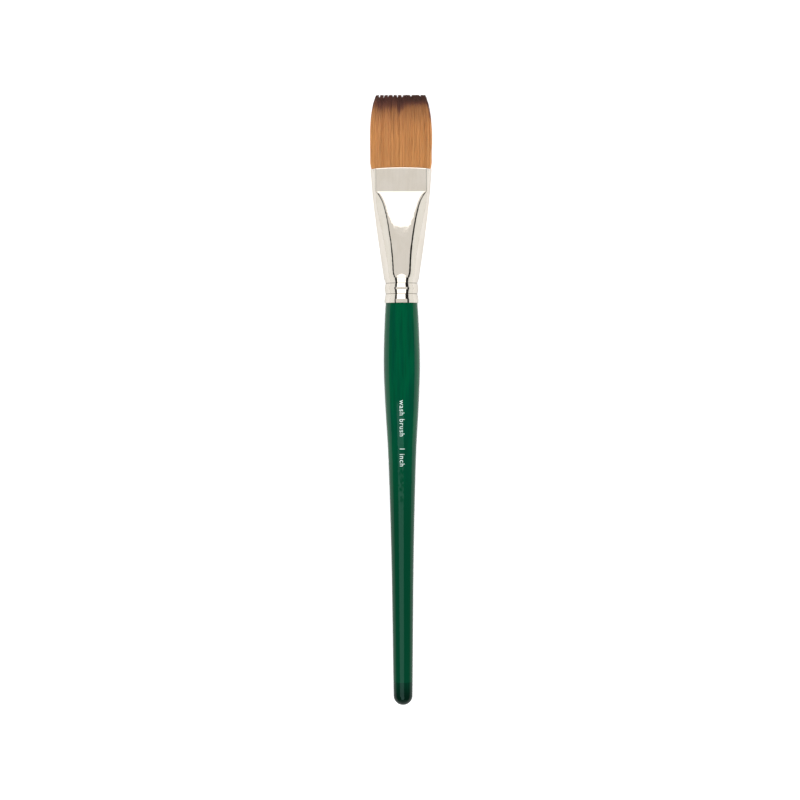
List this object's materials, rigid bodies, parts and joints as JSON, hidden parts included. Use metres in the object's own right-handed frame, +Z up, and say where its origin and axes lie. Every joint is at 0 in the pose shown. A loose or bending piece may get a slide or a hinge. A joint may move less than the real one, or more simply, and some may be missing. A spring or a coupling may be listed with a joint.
{
  "type": "flat wash paint brush",
  "caption": "Flat wash brush: square-cut synthetic hair in a crimped nickel-plated ferrule on a turned, green-lacquered wooden handle.",
  "frame": {"origin": "middle of the brush's length, on the surface that the handle's belly rests on", "axes": "+Y along the brush from the butt of the handle to the tip of the hair, +Z up out of the upper flat of the ferrule, +X across the width of the hair"},
  "size_m": [0.0254, 0.2518, 0.015],
  "materials": {
    "ferrule_metal": "polished nickel plate",
    "handle_wood": "sanded, bare",
    "green_lacquer": "high gloss lacquer",
    "dark_lacquer": "high gloss lacquer, second dip",
    "wood_glue": "cured",
    "root_epoxy": "cured",
    "thread": "waxed",
    "hair": "fine synthetic filament, tips dyed dark brown"
  },
  "bodies": {
    "brush": {"ferrule": "ferrule_metal", "handle_core": "handle_wood", "handle_lacquer": "green_lacquer", "butt_dip": "dark_lacquer", "tenon_glue": "wood_glue", "root_glue": "root_epoxy", "binding_thread": "thread", "tuft_root": "hair"},
    "hair_lower": {"tuft_lower": "hair"},
    "hair_middle": {"tuft_middle": "hair"},
    "hair_tip": {"tuft_tip": "hair"}
  },
  "joints": [
    {"name": "hair_flex_lower", "type": "hinge", "parent": "brush", "child": "hair_lower", "pos_m": [0, 0.09985, 0.0075], "axis": [1, 0, 0], "range_deg": [-8, 8], "stiffness_Nm_per_rad": 0.12},
    {"name": "hair_flex_middle", "type": "hinge", "parent": "hair_lower", "child": "hair_middle", "pos_m": [0, 0.10785, 0.0075], "axis": [1, 0, 0], "range_deg": [-12, 12], "stiffness_Nm_per_rad": 0.08},
    {"name": "hair_flex_tip", "type": "hinge", "parent": "hair_middle", "child": "hair_tip", "pos_m": [0, 0.11585, 0.0075], "axis": [1, 0, 0], "range_deg": [-16, 16], "stiffness_Nm_per_rad": 0.04}
  ]
}
